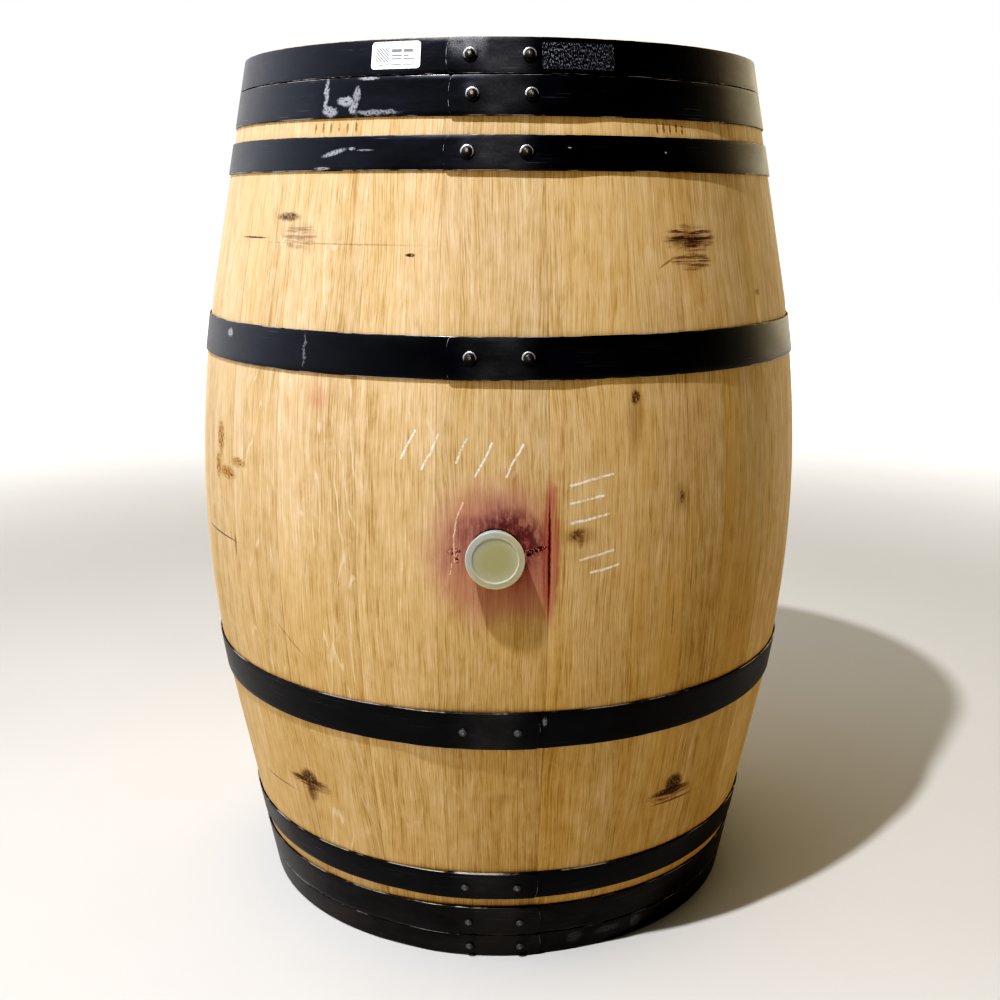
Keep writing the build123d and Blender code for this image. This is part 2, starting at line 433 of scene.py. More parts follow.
STAVE_NAMES = ["bung_stave"] + [f"stave_{number:02d}" for number in range(2, 28)]
# The staves in front: brightness, warmth and how much figure each shows
FRONT_WOOD = {
    "bung_stave": (0.93, 0.45, 0.35),
    "stave_02": (0.98, 0.5, 0.2),
    "stave_03": (0.95, 0.7, 0.15),
    "stave_04": (0.92, 0.6, 0.3),
    "stave_05": (0.86, 0.8, 0.25),
    "stave_06": (0.95, 0.4, 0.3),
    "stave_07": (0.96, 0.4, 0.3),
    "stave_27": (1.0, 0.3, 0.4),
    "stave_26": (0.97, 0.35, 1.0),
    "stave_25": (0.95, 0.55, 0.7),
    "stave_24": (0.95, 0.5, 0.5),
}
# A stave's rounded long edges: (distance from the joint, depth below the face)
EDGE_ROUNDING = ((0.0, 0.15 * MM), (0.15 * MM, 0.04 * MM), (0.4 * MM, 0.0))
JOINT_PLAY = 0.02 * MM
STAVE_SPANS = 8
WAVE = 0.35 * MM  # how far the wood's face dips at most


def stave_levels():
    """Heights of a stave's cross sections, with both ends' chamfer, bevel and groove."""
    ends = [0, 1, 6, 12, 22, 30, 37.45, 37.55, 42.45, 42.55, 50, 60]
    levels = [inset * MM for inset in ends] + [HEIGHT - inset * MM for inset in ends]
    low, high = 60 * MM, HEIGHT - 60 * MM
    steps = 92
    levels += [low + (high - low) * step / steps for step in range(1, steps)]
    return sorted(levels)


def inner_radius(z):
    inset = min(z, HEIGHT - z)
    if inset < CHIME_DEPTH:
        share = inset / CHIME_DEPTH
        return (END_RADIUS - CHIME_WIDTH) * (1 - share) + wood_radius(CHIME_DEPTH, THICKNESS) * share
    if abs(inset - CROZE_INSET) < CROZE_HALF:
        return wood_radius(CROZE_INSET, THICKNESS - CROZE_DEPTH)
    return wood_radius(z, THICKNESS)


def sector_of(name):
    """The azimuths of a stave's two joints."""
    points = points_of(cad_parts[name].data)
    middle = azimuth_of(points[:, 0].mean(), points[:, 1].mean())
    turns = np.degrees(np.arctan2(points[:, 0], -points[:, 1])) - middle
    turns = (turns + 180) % 360 - 180
    return middle + turns.min(), middle + turns.max()


def stave_row(z, low, high, seed):
    """One cross section of a stave: its outside from low to high azimuth, then its inside back again."""
    chamfer = 1 * MM if min(z, HEIGHT - z) < 0.5 * MM else 0.0
    outside = wood_radius(z)
    width = math.radians(high - low) * outside
    spots = [(JOINT_PLAY + distance, depth) for distance, depth in EDGE_ROUNDING]
    first = spots[-1][0]
    spots += [(first + (width - 2 * first) * step / STAVE_SPANS, 0.0) for step in range(1, STAVE_SPANS)]
    spots += [(width - JOINT_PLAY - distance, depth) for distance, depth in reversed(EDGE_ROUNDING)]
    row = []
    for distance, depth in spots:
        dip = 0.5 + 0.5 * rough(distance * 25 + seed, z * 5, seed)
        radius = outside - chamfer - depth - WAVE * dip
        row.append(around(low + math.degrees(distance / outside), radius, z))
    inside = inner_radius(z)
    play = math.degrees(JOINT_PLAY / inside)
    for step in range(5):
        row.append(around(high - play - (high - low - 2 * play) * step / 4, inside, z))
    return row


def make_stave(name, number):
    low, high = sector_of(name)
    seed = 3.7 * number
    corners, faces = loft([stave_row(z, low, high, seed) for z in stave_levels()])
    stave = add_piece(f"oak_{name}", corners, faces)
    if name == "bung_stave":
        cut(stave, bung_hole())
    sharpen(stave)
    tag_stave(stave, low, high, number)
    return stave


def bung_hole():
    """A cone a little wider than the bung, that flares where it leaves the wood."""
    taper = (BUNG_FACE_RADIUS - BUNG_END_RADIUS) / (BUNG_FACE - BUNG_END)

    def radius(distance):
        return BUNG_END_RADIUS + BUNG_PLAY + (distance - BUNG_END) * taper

    start, lip, end = BUNG_END - 20 * MM, BILGE_RADIUS - 2.5 * MM, BILGE_RADIUS + 10 * MM
    profile = [(0, start), (radius(start), start), (radius(lip), lip)]
    profile += [(radius(BILGE_RADIUS) + 1.0 * MM, BILGE_RADIUS), (radius(end) + 8 * MM, end), (0, end)]
    corners, faces = lathe(profile, 96, lambda x, y, height: (x, -height, BUNG_Z + y))
    return add_piece("hole_cutter", corners, faces)


def tag_wood(piece, grain, place, seam, tint):
    """Stores what oak reads: coordinates along its grain, places for marks, the distance to the joint, and
    brightness, warmth and figure."""
    tag(piece, "grain", np.stack(grain, 1))
    tag(piece, "place", np.stack(place, 1))
    tag(piece, "seam", seam, "FLOAT")
    tag(piece, "tint", np.tile(tint, (len(seam), 1)))


def tag_stave(stave, low, high, number):
    points = points_of(stave.data)
    middle = (low + high) / 2
    radii = np.hypot(points[:, 0], points[:, 1])
    turns = np.degrees(np.arctan2(points[:, 0], -points[:, 1]))
    aside = (turns - middle + 180) % 360 - 180
    across = np.radians(aside) * radii
    outside = np.array([wood_radius(z) for z in points[:, 2]])
    depth = outside - radii
    grain = (across + number * 1.37, points[:, 2] + number * 0.61, depth)
    place = (np.radians(middle + aside) * BILGE_RADIUS, points[:, 2], depth)
    seam = np.radians((high - low) / 2) * radii - np.abs(across)
    draw = random.Random(number)
    tint = (draw.uniform(0.88, 1.04), draw.uniform(0.2, 0.8), draw.uniform(0.1, 0.9))
    tag_wood(stave, grain, place, seam, FRONT_WOOD.get(STAVE_NAMES[number], tint))


# --- Hoops ---

CORNER = 0.45 * MM
STRIP_SPANS = 8
LAP_CORNER = 5 * MM
END_BOW = 2.0 * MM  # of the strip's cut ends
BOW_LENGTH = 12 * MM  # of the strip that bows
EDGE_WAVE = 0.15 * MM


def hoop_shape(name):
    """The strip's half width, lean, and the height and wood radius at its middle."""
    low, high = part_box(name)[0].z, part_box(name)[1].z
    centre = (low + high) / 2
    lean = wood_lean(centre)
    half = (high - low - STRIP * abs(math.sin(lean))) / 2 / math.cos(lean)
    middle = centre - (2 * STRIP_PLAY + STRIP) / 2 * math.sin(lean)
    return half, lean, middle, wood_radius(middle)


def strip_outline(half):
    """The strip's section as (height above the wood, distance from its middle line): outside first."""
    flat = half - CORNER
    outer, inner = STRIP_PLAY + STRIP, STRIP_PLAY
    line = [(outer, -flat + 2 * flat * step / STRIP_SPANS) for step in range(STRIP_SPANS + 1)]
    line += [(outer - 0.3 * CORNER, flat + 0.7 * CORNER), (outer - CORNER, half)]
    line += [(inner + CORNER, half), (inner, flat), (inner, 0.0), (inner, -flat), (inner + CORNER, -half)]
    line += [(outer - CORNER, -half), (outer - 0.3 * CORNER, -flat - 0.7 * CORNER)]
    return line


def rivet_steps(radius):
    return [side * math.degrees(RIVET_STEP / radius) for side in (-1, 1)]


def bulge(along, across):
    """How far a strip is pushed out at this distance from the middle of its lap, round the two rivets."""
    total = 0.0
    for side in (-1, 1):
        reach = math.hypot(along - side * RIVET_STEP, across) / RIVET_BULGE_RADIUS
        total += math.exp(-(reach**2))
    return RIVET_BULGE * total


def ease(share):
    """A rise from 0 to 1 made of two equal bends."""
    share = max(0.0, min(1.0, share))
    return 2 * share**2 if share < 0.5 else 1 - 2 * (1 - share) ** 2


def end_inset(to_end, corner):
    """How far a strip's edge is drawn in at this distance from its cut end, by a rounded corner."""
    if to_end >= corner:
        return 0.0
    return corner - math.sqrt(corner**2 - (corner - to_end) ** 2)


def on_strip(radius, middle, lean, above, across):
    """Radius and height of a point above a leaning band and across it from its middle line."""
    out = radius + above * math.cos(lean) - across * math.sin(lean)
    return out, middle + above * math.sin(lean) + across * math.cos(lean)


def hoop_stations(radius, lap_sweep):
    """Angles along the strip, closer together at the lap and closest at its ends."""
    fine = math.degrees(2.5 * MM / radius)
    ramp = math.degrees(RAMP_LENGTH / radius)
    end = 360 + lap_sweep
    stations = [0.0]
    while stations[-1] < end:
        here = stations[-1]
        near_end = min(here, end - here) * math.radians(1) * radius < LAP_CORNER
        near_lap = here < lap_sweep * 1.2 or here > 360 - ramp - 1
        stations.append(here + (fine / 3 if near_end else fine if near_lap else 1.2))
    stations[-1] = end
    return stations


def make_hoop(name, lap_azimuth, side):
    """A strip that goes once round, then rises over its own inner end and laps it."""
    half, lean, middle, radius = hoop_shape(name)
    rise = (STRIP + LAP_PLAY) / math.cos(lean)
    lap_sweep = math.degrees(LAP_LENGTH / (radius + rise))
    ramp = math.degrees(RAMP_LENGTH / radius)
    outline = strip_outline(half)
    rows, strip_tags = [], []
    length = math.radians(360 + lap_sweep) * radius
    for station in hoop_stations(radius, lap_sweep):
        lift = rise * ease((station - 360 + ramp) / ramp)
        along = math.radians(station) * radius
        to_end = min(along, length - along)
        narrowed = 1 - 0.6 * end_inset(to_end, LAP_CORNER) / half
        row = []
        for above, across in outline:
            wave = EDGE_WAVE * rough(along * 9, half * 900, side) * across / half
            bow = END_BOW * (across / half) ** 2 * max(0.0, 1 - to_end / BOW_LENGTH)
            bow = -bow if along > length / 2 else bow
            angle = station + math.degrees(bow / radius)
            from_lap = math.radians((angle + 180) % 360 - 180 - lap_sweep / 2) * radius
            up = above + bulge(from_lap, across)
            out, z = on_strip(radius + lift, middle, lean, up, across * narrowed + wave)
            azimuth = lap_azimuth + side * (angle - lap_sweep / 2)
            row.append(around(azimuth, out, z))
            edge = min(half - abs(across), length - along) if above > STRIP else 0.0
            strip_tags.append((along, edge, from_lap * side))
        rows.append(row)
    corners, faces = loft(rows)
    hoop = add_piece(f"steel_{name}", corners, faces)
    sharpen(hoop, 50)
    tag(hoop, "strip", strip_tags)
    tag(hoop, "place", [place_on_hoop(corner, lap_azimuth) for corner in corners])
    return hoop


def place_on_hoop(corner, lap_azimuth):
    """The place of a point for marks. Its third part sets the hoops' noises apart."""
    return (arc(azimuth_of(corner[0], corner[1])), corner[2], lap_azimuth)


# --- Rivets ---

LAP_OUTSIDE = STRIP_PLAY + 2 * STRIP + LAP_PLAY
SHANK = 2.5 * MM
TAIL = 4.0 * MM
TAIL_DEPTH = 1.2 * MM
UPPER_HEAD = (6.6, 0.9, 4.0, 2.8)  # flange radius and height, nub radius and height, in millimetres
LOWER_HEAD = (4.9, 0.8, 3.6, 2.2)


def rivet_profile(head):
    flange, thick, nub, tall = (size * MM for size in head)
    seat = LAP_OUTSIDE + RIVET_BULGE - 0.15 * MM
    profile = [(0, STRIP_PLAY), (TAIL, STRIP_PLAY), (SHANK, STRIP_PLAY + TAIL_DEPTH), (SHANK, seat)]
    for share, height in ((0.97, 0.0), (1.0, 0.25), (0.96, 0.55), (0.82, 0.85)):
        profile.append((flange * share, seat + thick * height))
    profile += [(nub * 1.15, seat + thick), (nub * 0.98, seat + thick * 1.2)]
    base, rise = seat + thick * 1.2, tall - thick
    for turn in (15, 35, 55, 75):
        profile.append((nub * math.cos(math.radians(turn)), base + rise * math.sin(math.radians(turn))))
    return profile + [(0, base + rise)]


def make_rivets(name, hoops, head):
    """The rivets of some hoops, in one piece of separate solids, each a little uneven."""
    corners, faces, tags = [], [], []
    steps = 36
    for number, hoop in enumerate(hoops):
        _, lean, middle, radius = hoop_shape(hoop)
        lap_azimuth = HOOPS[hoop][0]
        for side, step in enumerate(rivet_steps(radius)):
            azimuth = lap_azimuth + step
            out = Vector(around(azimuth, math.cos(lean), math.sin(lean)))
            right = Vector(around(azimuth + 90, 1, 0))
            up = out.cross(right)
            base = Vector(around(azimuth, radius, middle))
            seed = number * 2 + side

            def place(x, y, height):
                uneven = 1 + 0.05 * rough(x * 300 + seed * 7, y * 300, seed)
                dent = 0.0
                if height > LAP_OUTSIDE + 1 * MM:
                    dent = 0.12 * MM * rough(x * 500, y * 500 + seed * 5, seed)
                return base + right * x * uneven + up * y * uneven + out * (height + dent)

            solid, skin = lathe(rivet_profile(head), steps, place)
            offset = len(corners)
            corners += solid
            faces += [tuple(index + offset for index in face) for face in skin]
            for corner in solid:
                away = corner - base
                tags.append((math.hypot(away.dot(right), away.dot(up)), away.dot(out), away.dot(up)))
    rivets = add_piece(name, corners, faces)
    sharpen(rivets, 60)
    tag(rivets, "turned", tags)
    return rivets


# --- Bung ---


def make_bung():
    """A tapered stopper with rounded edges and, in its face, a shallow recess with a fine ring round it."""
    taper = (BUNG_FACE_RADIUS - BUNG_END_RADIUS) / (BUNG_FACE - BUNG_END)
    edge, recess, deep = 1.3 * MM, 22.0 * MM, 0.7 * MM
    profile = [(0, BUNG_END)]
    profile += rounded(edge, (BUNG_END_RADIUS - edge, BUNG_END + edge), -90, 0, 5)
    for share in (0.15, 0.3, 0.45, 0.6, 0.75, 0.9):
        height = BUNG_END + share * (BUNG_FACE - BUNG_END)
        profile.append((BUNG_END_RADIUS + (height - BUNG_END) * taper, height))
    profile += rounded(edge, (BUNG_FACE_RADIUS - edge, BUNG_FACE - edge), 0, 90, 6)
    for out, height in ((1.5, 0.0), (0.9, 0.22), (0.3, 0.22), (-0.2, -0.1), (-0.6, -0.6)):
        profile.append((recess + out * MM, BUNG_FACE + height * MM))
    for share in (0.94, 0.7, 0.45, 0.2):
        profile.append((recess * share, BUNG_FACE - deep))
    profile.append((0, BUNG_FACE - deep))

    def place(x, y, height):
        uneven = 0.12 * MM * rough(x * 60, y * 60, 4.0) if height > BILGE_RADIUS else 0.0
        return (x, -height + uneven, BUNG_Z + y)

    corners, faces = lathe(profile, 128, place)
    bung = add_piece("silicone_bung", corners, faces)
    sharpen(bung, 40)
    tag(bung, "turned", [(math.hypot(x, z - BUNG_Z), x, z - BUNG_Z) for x, _, z in corners])
    return bung


# --- Sticker ---

STICKER_AZIMUTHS = (-24.2, -14.3)
STICKER_HALF = 12.6 * MM
STICKER_CORNER = 3.5 * MM
STICKER_SEAT = STRIP_PLAY + STRIP + 0.05 * MM
STICKER_THICKNESS = 0.3 * MM


def make_sticker():
    """A thin plate with round corners that follows the top head hoop."""
    _, lean, _, _ = hoop_shape("top_head_hoop")
    low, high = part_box("hoop_sticker")
    middle = (low.z + high.z) / 2 - (STICKER_SEAT + STICKER_THICKNESS / 2) * math.sin(lean)
    radius = wood_radius(middle)
    width = math.radians(STICKER_AZIMUTHS[1] - STICKER_AZIMUTHS[0]) * radius
    end = [distance * MM for distance in (0, 0.1, 0.35, 0.8, 1.4, 2.2, 3.5)]
    flat = width - 2 * STICKER_CORNER
    stations = end + [STICKER_CORNER + flat * step / 16 for step in range(1, 16)]
    stations += [width - distance for distance in reversed(end)]
    rows, tags = [], []
    for station in stations:
        to_end = min(station, width - station)
        half = STICKER_HALF - end_inset(to_end, STICKER_CORNER) * 0.98
        line = [(STICKER_SEAT + STICKER_THICKNESS, half * (step / 4 - 1)) for step in range(9)]
        line += [(STICKER_SEAT, -half * (step / 4 - 1)) for step in range(9)]
        row = []
        for above, across in line:
            out, z = on_strip(radius, middle, lean, above, across)
            row.append(around(STICKER_AZIMUTHS[0] + math.degrees(station / radius), out, z))
            tags.append((station, across, above))
        rows.append(row)
    corners, faces = loft(rows)
    sticker = add_piece("blank_sticker", corners, faces)
    sharpen(sticker, 40)
    tag(sticker, "place", tags)
    return sticker


# --- Heads ---

BOARDS = 7
HEAD_TONGUE = 6 * MM
HEAD_OUTER_BEVEL = 16 * MM
HEAD_INNER_BEVEL = 26 * MM
BOARD_EDGE = 0.7 * MM
BLANK_HALF = 300 * MM  # half the length of a board before it is cut round


def head_disc(side):
    """The whole head as one solid, with its tongue in the groove. side is 1 at the top, -1 at the bottom."""
    prefix = "top" if side > 0 else "bottom"
    boxes = [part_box(f"{prefix}_head_board_{number}") for number in range(1, BOARDS + 1)]
    rim = max(max(high.x, -low.y) for low, high in boxes)
    outer = max(abs(z - MIDDLE) for low, high in boxes for z in (low.z, high.z))
    inner = min(abs(z - MIDDLE) for low, high in boxes for z in (low.z, high.z))
    root, half, groove = rim - HEAD_TONGUE, CROZE_HALF - 0.2 * MM, MIDDLE - CROZE_INSET
    profile = [(0, inner), (root - HEAD_INNER_BEVEL, inner), (root, groove - half), (rim, groove - half)]
    profile += [(rim, groove + half), (root, groove + half), (root - HEAD_OUTER_BEVEL, outer), (0, outer)]
    corners, faces = lathe(profile, 240, lambda x, y, height: (x, y, MIDDLE + side * height))
    return add_piece("head_cutter", corners, faces)


def board_blank(low, high, side, seed):
    """A board's block: slightly hollow across, its long edges rounded, wider than the head."""
    outer = max(abs(low.z - MIDDLE), abs(high.z - MIDDLE))
    inner = min(abs(low.z - MIDDLE), abs(high.z - MIDDLE))
    spans = 6
    section = [(low.y, inner - 1 * MM), (high.y, inner - 1 * MM), (high.y, outer - BOARD_EDGE)]
    section += [(high.y - 0.3 * BOARD_EDGE, outer - 0.3 * BOARD_EDGE)]
    for step in range(spans + 1):
        share = step / spans
        hollow = 0.25 * MM * math.sin(math.pi * share)
        y = high.y - BOARD_EDGE - (high.y - low.y - 2 * BOARD_EDGE) * share
        section.append((y, outer - hollow - 0.02 * MM))
    section += [(low.y + 0.3 * BOARD_EDGE, outer - 0.3 * BOARD_EDGE), (low.y, outer - BOARD_EDGE)]
    rows = []
    for step in range(25):
        x = BLANK_HALF * (step / 12 - 1)
        dip = 0.12 * MM * (rough(x * 6, seed) - 1)
        row = []
        for y, height in section:
            row.append((x, y, MIDDLE + side * (height + (dip if height > inner else 0))))
        rows.append(row)
    corners, faces = loft(rows)
    return add_piece("board", corners, faces)


def make_board(node, side, number):
    low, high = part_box(node)
    board = board_blank(low, high, side, number * 1.7)
    cut(board, head_disc(side), "INTERSECT")
    board.name = f"oak_{node}"
    board.data.name = board.name
    sharpen(board)
    points = points_of(board.data)
    across = points[:, 1] - (low.y + high.y) / 2
    seam = np.minimum(points[:, 1] - low.y, high.y - points[:, 1])
    depth = (MIDDLE + side * max(abs(low.z - MIDDLE), abs(high.z - MIDDLE)) - points[:, 2]) * side
    grain = (across + number * 2.1, points[:, 0] + side * 3.3, depth)
    draw = random.Random(100 + number + 10 * side)
    tint = (draw.uniform(0.9, 1.03), draw.uniform(0.3, 0.7), draw.uniform(0.2, 1.0))
    tag_wood(board, grain, (points[:, 0], points[:, 1], depth), seam, tint)
    return board


# --- Oak ---

PALE_OAK = (0.78, 0.60, 0.40)
OAK = (0.60, 0.425, 0.233)
DARK_OAK = (0.35, 0.215, 0.082)
GOLDEN_OAK = (0.66, 0.43, 0.175)
TOAST = (0.045, 0.026, 0.016)
LOW_TINT = (0.97, 0.93, 0.83)  # the staves are tinted warmer and a little darker towards the bottom


def oak_figure(g, grain):
    """Tone of plain oak, from 0, dark, to 1, pale, and its bump height: growth bands, fibres and pores."""
    bands = g.noise(grain, (85, 1.6, 85), 2.0, 0.6)
    fibres = g.noise(grain, (820, 10, 820), 3.0, 0.65, 0.25)
    fine = g.noise(grain, (1000, 24, 1000), 2.0, 0.6)
    pores = g.noise(grain, (1000, 50, 1000), 1.0, 0.5, 0.2).rises(0.56, 0.70)
    tone = (bands - 0.5) * 0.6 + (fibres - 0.5) * 0.95 + (fine - 0.5) * 1.2 + 0.5 - pores * 0.12
    height = fibres * 0.6 + fine * 0.4 - pores * 0.6
    return tone, height


def ray_flecks(g, grain, strength):
    """Pale wandering lines where the saw crossed the rays, in patches."""
    field = g.noise(grain, (30, 4.5, 30), 1.5, 0.5, 0.25)
    line = g.math("PINGPONG", field * 7, 0.5).rises(0.07, 0.02)
    patch = g.noise(grain, (12, 5, 12), 1.0).rises(0.36, 0.56)
    broken = g.noise(grain, (120, 22, 120), 1.0).rises(0.38, 0.54)
    flames = g.noise(grain, (90, 30, 90), 2.0, 0.55, 1.2).rises(0.58, 0.68)
    return (line * broken + flames * 0.25) * patch * strength


def wander(g, grain):
    """The grain's coordinates, bent sideways a little so that its lines wander."""
    across, up, depth = g.split(grain)
    bend = (g.noise(grain, (10, 4.5, 10), 1.0) - 0.5) * 0.020
    ripple = (g.noise(grain, (45, 20, 45), 1.0) - 0.5) * 0.0025
    return g.join(across + bend + ripple, up, depth)


def oak_surface(g):
    """Colour and bump height of a piece of oak from its own attributes."""
    grain = wander(g, g.attribute("grain"))
    brightness, warmth, figure = g.split(g.attribute("tint"))
    tone, height = oak_figure(g, grain)
    flecks = ray_flecks(g, grain, figure)
    cloud = g.noise(grain, (16, 3.5, 16), 2.0)
    mottle = g.noise(grain, (70, 45, 70), 2.0, 0.6)
    golden = g.noise(grain, (11, 3.0, 11), 2.0, 0.6, 0.4).rises(0.36, 0.66)
    tone = tone + (cloud - 0.5) * 0.6 + (mottle - 0.5) * 0.45
    colour = g.mix(tone.rises(-0.05, 0.55), DARK_OAK, OAK)
    colour = g.mix(tone.rises(0.42, 1.05), colour, PALE_OAK)
    colour = g.mix((golden * 0.9 + 0.1) * warmth, colour, g.mix(0.6, colour, GOLDEN_OAK))
    colour = g.mix(flecks * 0.5, colour, (0.88, 0.73, 0.53))
    colour = g.dimmed(colour, brightness)
    seam = g.attribute("seam", "Fac")
    grime = seam.rises(0.9 * MM, 0.1 * MM) * 0.15
    colour = g.mix(grime, colour, (0.12, 0.065, 0.03))
    return colour, height + flecks * 0.4, grain


def darken_ends(g, colour):
    """Darkens a stave where it is cut across its fibres, at its top and bottom."""
    ends = g.facing(2).rises(0.75, 0.95)
    return g.mix(ends * 0.42, colour, (0.20, 0.10, 0.045))


def marked_wood(g, colour, height, grain):
    """Adds what happened to the staves in front: stain, scuffs, cracks, knots, chalk and punch marks."""
    place = g.attribute("place")
    wobble = (g.noise(place, (60, 60, 60), 3.0, 0.6) - 0.5) * 7
    m = Marks(g, place, wobble)
    exact = Marks(g, place, (g.noise(place, (260, 260, 260), 1.0) - 0.5) * 1.6)
    streaks = g.noise(place, (28, 330, 28), 3.0, 0.65)
    speckle = g.noise(place, (330, 330, 330), 2.0, 0.6)

    colour = wine_stain(g, m, exact, colour, speckle, grain)
    bruise = largest(
        m.spot(-37.6, 769, 25, 12) * 0.65,
        m.spot(36.4, 768, 35, 13, 0.4),
        m.spot(36.2, 746, 29, 8, 0.5) * 0.8,
        m.spot(-39.3, 184, 32, 9) * 0.8,
        m.spot(36.4, 180, 33, 7) * 0.8,
    ) * (streaks.rises(0.44, 0.58) * 0.85 + 0.12)
    colour = g.mix(bruise * 0.85, colour, (0.095, 0.040, 0.050))
    smudge = largest(
        m.spot(-41.0, 787, 17, 4.0, 0.9),
        m.spot(36.0, 766, 26, 6.0, 1.0) * 0.75,
        m.spot(-39.6, 191, 13, 9, 0.8),
        m.spot(-40.6, 186, 26, 3.5, 0.9),
        m.spot(-39.5, 176, 8, 14, 0.9) * 0.8,
        m.spot(37.0, 191, 13, 12, 0.7),
        m.spot(36.8, 183, 27, 3.5, 0.9),
    )
    smudge = smudge * (speckle * 1.6).at_most(1.0)
    colour = g.mix(smudge * 0.88, colour, (0.035, 0.022, 0.02))
    colour = g.mix(m.spot(-30.5, 616, 13, 11, 1.2) * 0.3, colour, (0.50, 0.17, 0.13))
    colour = amber_stain(g, m, colour, speckle)
    colour, cracks = cracks_and_knots(g, m, exact, colour, speckle)
    colour = punch_marks(g, exact, colour, speckle)
    hand = Marks(g, place, (g.noise(place, (45, 45, 45), 1.0) - 0.5) * 9)
    chalk = chalk_strokes(hand) * (speckle.rises(0.36, 0.56) * 0.7 + 0.3)
    chalk = chalk * (g.noise(place, (22, 22, 22), 1.0).rises(0.32, 0.55) * 0.6 + 0.4)
    colour = g.mix(chalk * 0.75, colour, (0.90, 0.88, 0.84))
    return colour, height - cracks * 2.0


def wine_stain(g, m, exact, colour, speckle, grain):
    """Purple wine soaked into the bung stave round its hole, and along the joint beside it."""
    bung_z = BUNG_Z / MM
    uneven = (g.noise(grain, (34, 20, 34), 4.0, 0.65) - 0.5) * 30
    dx, dy = m.x + 2, m.y - (bung_z + 1)
    reach = g.math("SQRT", dx * dx + dy * dy * 0.88) + uneven
    own_stave = exact.x.rises(degrees_mm(8.6) + 0.4, degrees_mm(8.6) - 0.4)
    fibre = g.noise(grain, (500, 14, 500), 2.0).rises(0.25, 0.75)
    mottle = g.noise(grain, (150, 80, 150), 3.0, 0.6).rises(0.30, 0.62)
    halo = reach.rises(84, 44) * own_stave
    colour = g.mix(halo * (fibre * 0.25 + 0.50), colour, (0.46, 0.225, 0.185))
    beside = m.spot(5.3, bung_z - 20, 24, 44, 0.7) * own_stave
    colour = g.mix(beside * (fibre * 0.2 + 0.35), colour, (0.44, 0.21, 0.19))
    bleached = m.spot(-4.5, bung_z + 47, 17, 9, 1.2)
    darker_above = (dy * 0.012 + 0.75).at_least(0.35).at_most(1.0)
    core = reach.rises(66, 30) * own_stave * (1 - bleached * 0.75) * darker_above
    colour = g.mix(core * (fibre * 0.2 + mottle * 0.3 + 0.26), colour, (0.23, 0.088, 0.105))
    dark = m.spot(2.4, bung_z + 14, 30, 27, 0.7) * mottle * own_stave
    colour = g.mix(dark * 0.6, colour, (0.085, 0.028, 0.045))
    joint = m.spot(8.75, bung_z + 2, 8.5, 71, 0.55)
    colour = g.mix(joint * (fibre * 0.3 + 0.50), colour, (0.38, 0.125, 0.115))
    line = exact.spot(8.5, bung_z - 2, 1.2, 52, 0.9)
    colour = g.mix(line * 0.85, colour, (0.07, 0.010, 0.014))
    gouges = largest(
        exact.spot(5.9, bung_z + 4, 10, 2.2, 0.9, 10),
        exact.spot(7.3, bung_z + 7, 5, 1.8, 0.9),
        exact.spot(5.2, bung_z, 5, 1.6, 0.9),
        exact.spot(-6.5, bung_z + 3, 6, 3.0, 0.9),
        exact.spot(-6.0, bung_z - 1, 2.0, 7, 0.9),
    )
    colour = g.mix(gouges * speckle.rises(0.46, 0.56) * 0.9, colour, (0.035, 0.010, 0.014))
    colour = g.mix(gouges * speckle.rises(0.48, 0.40) * 0.7, colour, (0.62, 0.33, 0.30))
    scratch = largest(
        exact.stroke((-31, bung_z + 51), (-37, bung_z + 37), 1.5),
        exact.stroke((-37, bung_z + 37), (-40, bung_z + 18), 1.4),
        exact.stroke((-40, bung_z + 18), (-39.5, bung_z - 8), 1.1),
        exact.stroke((-42, bung_z - 9), (-43.5, bung_z - 20), 1.1),
    )
    return g.mix(scratch * speckle.rises(0.32, 0.5) * 0.8, colour, (0.80, 0.56, 0.42))


def amber_stain(g, m, colour, speckle):
    """Brown and golden patches on the far left stave."""
    patch = largest(
        m.spot(-58.6, 556, 9, 17, 0.9),
        m.spot(-60.0, 524, 8, 12, 0.9),
        m.spot(-55.5, 521, 18, 6, 1.0),
        m.spot(-51.0, 536, 14, 5, 1.0) * 0.8,
    )
    colour = g.mix(patch * speckle.rises(0.30, 0.5) * 0.75, colour, (0.30, 0.135, 0.02))
    return g.mix(patch * speckle.rises(0.52, 0.62) * 0.8, colour, (0.09, 0.045, 0.015))


